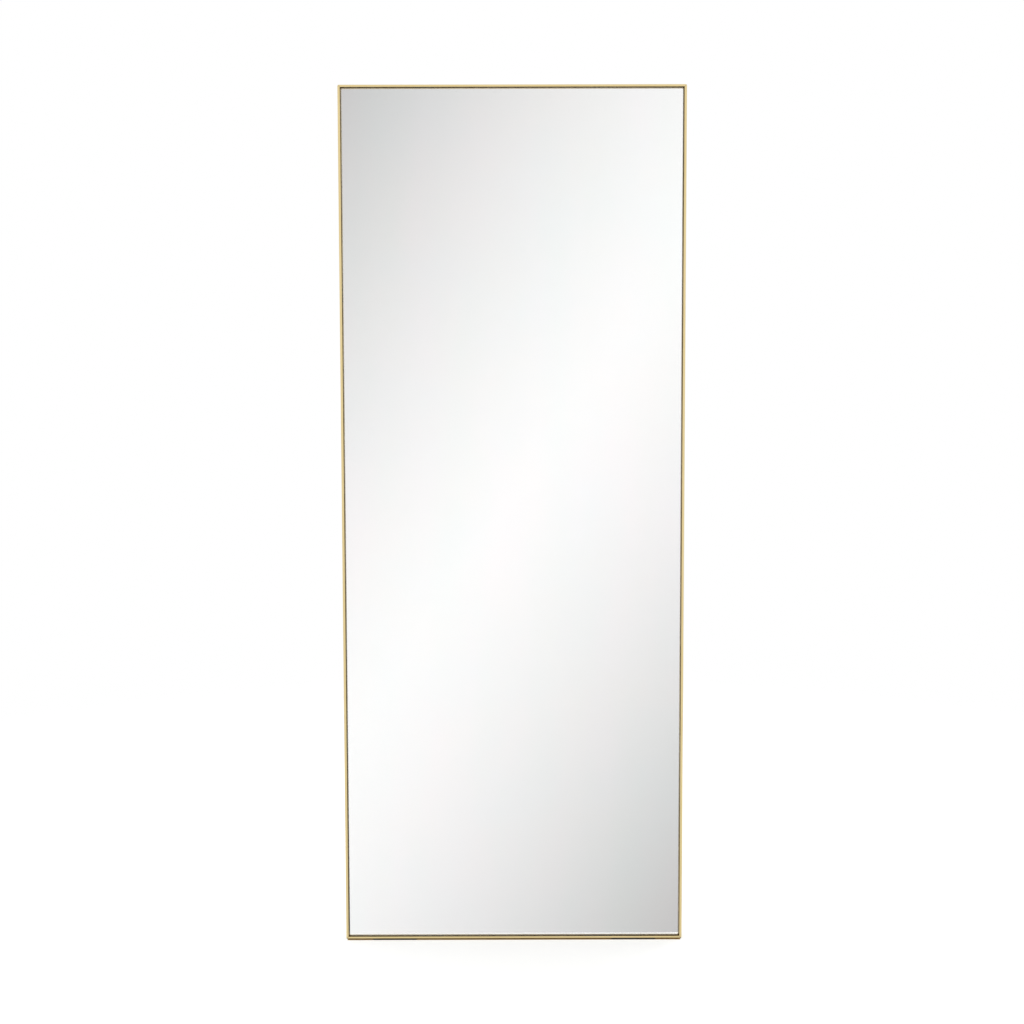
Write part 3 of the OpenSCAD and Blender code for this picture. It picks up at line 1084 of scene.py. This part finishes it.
@dataclass
class Studio:
    """A white floor and surround, soft lamps, the glow that the glass reflects, and the camera."""

    eye: Vector = Vector((-0.006, -2.8041, 1.1497))
    tilt: float = math.radians(-3.611)
    turn: float = math.radians(-0.073)
    roll: float = math.radians(-0.122)
    lens: float = 44.156
    floor_size: float = 7.0
    floor_keeps: float = 0.9
    floor_fades: float = 3.2
    floor_drop: float = 0.2 * MM
    floor_tone: str = "#F4F4F2"
    floor_roughness: float = 0.9
    floor_lift: float = 0.34
    footprint: Triple = (378 * MM, 16.5 * MM, 0.0)
    # painted shade: within this distance beyond the mirror's footprint the floor turns from its painted brown
    # shadow to its pale tone
    painted_shade_reach: float = 1 * MM
    painted_shade_tone: str = "#C4A97B"  # painted shade: the dark brown painted on the floor under the mirror, a contact shadow tinted like the light that brass throws there
    strip_in_glass: float = 30 * MM
    soft_level: float = 0.78
    flags: tuple[tuple[Vector, float, float, float], ...] = (  # direction, outer and inner cosine, shade
        (Vector((0.0, 0.0, -1.0)), 0.45, 0.85, 0.95),
        (Vector((0.5, 0.85, 0.15)), 0.2, 1.0, 0.15),
    )
    lamps: tuple[tuple[str, Vector, float], ...] = (  # name, place, watts
        ("front_lamp", Vector((-2.4, -3.0, 3.4)), 70.0),
        ("rear_lamp", Vector((2.2, 3.2, 3.0)), 40.0),
    )
    lamp_size: float = 3.0
    lamp_aim: Vector = Vector((0, 0, 0.9))
    card_distance: float = 4.3
    card_middle: float = 1.0
    card_width: float = 20.0
    card_height: float = 13.0
    glow_level: float = 1.064
    glow_angle: float = math.radians(-35.0)
    glow_centre: float = -0.435
    glow_reach: float = 2.2
    glow_drop: float = 0.461
    glow_power: float = 1.44
    glow_repeat: float = 2.9

    def stand(self, name: str, width: float, height: float, place: Matrix, paint: Material) -> Object:
        """Adds a flat stage piece.

        Args:
            name: Its name.
            width: Its width along its own X.
            height: Its height along its own Y.
            place: Where it stands.
            paint: Its material.

        Returns:
            The stage piece.
        """
        bm = bmesh.new()
        size = Matrix.Diagonal((width, height, 1, 1))
        bmesh.ops.create_grid(bm, x_segments=1, y_segments=1, size=0.5, matrix=place @ size)
        made = add_object(name, as_mesh(name, bm))
        made.data.materials.append(paint)
        return made

    def floor_paint(self) -> Material:
        """Makes the floor's paint: white where it is lit, with a painted brown shadow under the mirror, and
        gone far from it.

        Returns:
            The material.
        """
        paint = bpy.data.materials.new("pale_floor_paint")
        tree = empty_tree(paint)
        path = add(tree, "ShaderNodeLightPath").node.outputs
        glass = path["Is Transmission Ray"]
        place = add(tree, "ShaderNodeTexCoord").node.outputs["Object"]
        away = add(tree, "ShaderNodeVectorMath", {0: place}, operation="ABSOLUTE")
        away = add(tree, "ShaderNodeVectorMath", {0: away, 1: self.footprint}, operation="SUBTRACT")
        sides = add(tree, "ShaderNodeSeparateXYZ", {0: away}).node.outputs
        beside = add(tree, "ShaderNodeMath", {0: sides[0], 1: sides[1]}, operation="MAXIMUM")
        # painted shade: brown under the footprint and pale beyond it, and the lift for camera and glass rays
        # is off under it
        past_painted_shade = add(tree, "ShaderNodeMapRange", {"Value": beside, "From Max": self.painted_shade_reach})
        tones = {0: past_painted_shade, 6: linear(self.painted_shade_tone), 7: linear(self.floor_tone)}
        lift = add(tree, "ShaderNodeMath", {0: path["Is Camera Ray"], 1: glass}, operation="MAXIMUM")
        for share in (past_painted_shade, self.floor_lift):
            lift = add(tree, "ShaderNodeMath", {0: lift, 1: share}, operation="MULTIPLY")
        matt = add(tree, "ShaderNodeBsdfPrincipled", {
            "Base Color": add(tree, "ShaderNodeMix", tones, data_type="RGBA"),
            "Roughness": self.floor_roughness, "Specular IOR Level": 0.0,
            "Emission Color": linear(WHITE), "Emission Strength": lift,
        })
        strip = add(tree, "ShaderNodeMath", {0: glass, 1: self.strip_in_glass}, operation="MULTIPLY")
        hidden = add(tree, "ShaderNodeMath", {0: beside, 1: strip}, operation="GREATER_THAN")
        hidden = add(tree, "ShaderNodeMath", {0: path["Is Glossy Ray"], 1: hidden}, operation="MULTIPLY")
        far = add(tree, "ShaderNodeVectorMath", {0: place}, operation="LENGTH")
        limits = {"Value": far, "From Min": self.floor_keeps, "From Max": self.floor_fades}
        gone = add(tree, "ShaderNodeMapRange", limits, interpolation_type="SMOOTHSTEP")
        below = add(tree, "ShaderNodeNewGeometry").node.outputs["Backfacing"]
        for cause in (below, hidden):
            gone = add(tree, "ShaderNodeMath", {0: gone, 1: cause}, operation="MAXIMUM")
        shaders = {0: gone, 1: matt, 2: add(tree, "ShaderNodeBsdfTransparent")}
        add(tree, "ShaderNodeOutputMaterial", {"Surface": add(tree, "ShaderNodeMixShader", shaders)})
        return paint

    def floor(self) -> None:
        """Lays the pale floor, which keeps the mirror's shadow."""
        lie = Matrix.Translation((0, 0, -self.floor_drop))
        self.stand("pale_floor", self.floor_size, self.floor_size, lie, self.floor_paint())

    def glow(self) -> None:
        """Hangs the softly lit card behind the camera that only the glass shows."""
        light = bpy.data.materials.new("reflected_glow_light")
        light.cycles.emission_sampling = "NONE"
        tree = empty_tree(light)
        place = add(tree, "ShaderNodeTexCoord").node.outputs["Object"]
        way = (math.cos(self.glow_angle), 0.0, math.sin(self.glow_angle))
        along = add(tree, "ShaderNodeVectorMath", {0: place, 1: way}, operation="DOT_PRODUCT")
        for operation, number in (
            ("SUBTRACT", self.glow_centre), ("PINGPONG", self.glow_repeat), ("DIVIDE", self.glow_reach),
            ("POWER", self.glow_power), ("MULTIPLY", -self.glow_drop), ("ADD", 1.0),
            ("MULTIPLY", self.glow_level),
        ):
            along = add(tree, "ShaderNodeMath", {0: along, 1: number}, operation=operation)
        shine = add(tree, "ShaderNodeEmission", {"Strength": along})
        add(tree, "ShaderNodeOutputMaterial", {"Surface": shine})
        middle = Matrix.Translation((0, -self.card_distance, self.card_middle))
        card = self.stand("reflected_glow", self.card_width, self.card_height, middle @ ALONG_Y, light)
        card.visible_camera = card.visible_diffuse = card.visible_glossy = card.visible_shadow = False

    def surround(self) -> None:
        """Sets the white surround, plain for what it lights, with soft dark flags that metal reflects."""
        world = bpy.data.worlds.new("white_surround")
        tree = empty_tree(world)
        path = add(tree, "ShaderNodeLightPath").node.outputs
        glossy = path["Is Glossy Ray"]  # rays through the glass count as glossy too
        seen = add(tree, "ShaderNodeMath", {0: path["Is Camera Ray"], 1: glossy}, operation="MAXIMUM")
        level = add(tree, "ShaderNodeMapRange", {"Value": seen, "To Min": self.soft_level})
        metal = {0: glossy, 1: path["Is Transmission Ray"]}
        metal = add(tree, "ShaderNodeMath", metal, operation="SUBTRACT")
        way = add(tree, "ShaderNodeTexCoord").node.outputs["Generated"]
        for aim, start, end, shade in self.flags:
            near = add(tree, "ShaderNodeVectorMath", {0: way, 1: aim.normalized()}, operation="DOT_PRODUCT")
            limits = {"Value": near, "From Min": start, "From Max": end, "To Max": -shade}
            lost = add(tree, "ShaderNodeMapRange", limits, interpolation_type="SMOOTHSTEP")
            left = add(tree, "ShaderNodeMath", {0: metal, 1: lost, 2: 1.0}, operation="MULTIPLY_ADD")
            level = add(tree, "ShaderNodeMath", {0: level, 1: left}, operation="MULTIPLY")
        sky = add(tree, "ShaderNodeBackground", {"Color": linear(WHITE), "Strength": level})
        add(tree, "ShaderNodeOutputWorld", {"Surface": sky})
        bpy.context.scene.world = world

    def lamp(self, name: str, spot: Vector, power: float) -> None:
        """Hangs a soft square lamp that points at the middle of the mirror, and that nothing reflects.

        Args:
            name: Its name.
            spot: Where it hangs.
            power: Its power in watts.
        """
        light = bpy.data.lights.new(name, "AREA")
        light.size = self.lamp_size
        light.energy = power
        made = add_object(name, light)
        made.location = spot
        made.rotation_euler = (self.lamp_aim - spot).to_track_quat("-Z", "Y").to_euler()
        made.visible_glossy = made.visible_transmission = False

    def camera(self) -> None:
        """Sets the camera at the photograph's viewing angle."""
        data = bpy.data.cameras.new("camera")
        data.lens = self.lens
        made = add_object("camera", data)
        aim = Matrix.Rotation(self.turn, 4, "Z") @ Matrix.Rotation(math.pi / 2 + self.tilt, 4, "X")
        made.matrix_world = Matrix.Translation(self.eye) @ aim @ Matrix.Rotation(self.roll, 4, "Z")
        bpy.context.scene.camera = made

    def build(self) -> None:
        """Builds the stage, the lamps and the camera."""
        bpy.context.scene.view_settings.view_transform = "Standard"
        self.camera()
        self.floor()
        self.glow()
        self.surround()
        for name, spot, power in self.lamps:
            self.lamp(name, spot, power)


def main() -> None:
    """Builds the mirror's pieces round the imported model, then the studio."""
    logging.basicConfig(level=logging.INFO, format="%(name)s: %(message)s")
    left, right, bottom, top = map(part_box, ("left_stile", "right_stile", "bottom_rail", "top_rail"))
    corner = Vector((left[0].x, left[0].y, bottom[0].z))
    bars = MirrorFrame(corner, right[1].x - corner.x, top[1].z - corner.z, left[1].x - corner.x)
    bars.build()
    MirrorPanel().build()
    feet = RubberFeet(bars)
    fixings = Fixings(bars, feet)
    fixings.build()
    for is_right in (False, True):
        Hanger(bars, fixings, is_right).build()
    feet.build()
    for corner_name in ("top_left", "top_right", "bottom_left", "bottom_right"):
        dress_node(f"cleat_{corner_name}", CASTING)
    Studio().build()


if __name__ == "__main__":
    main()
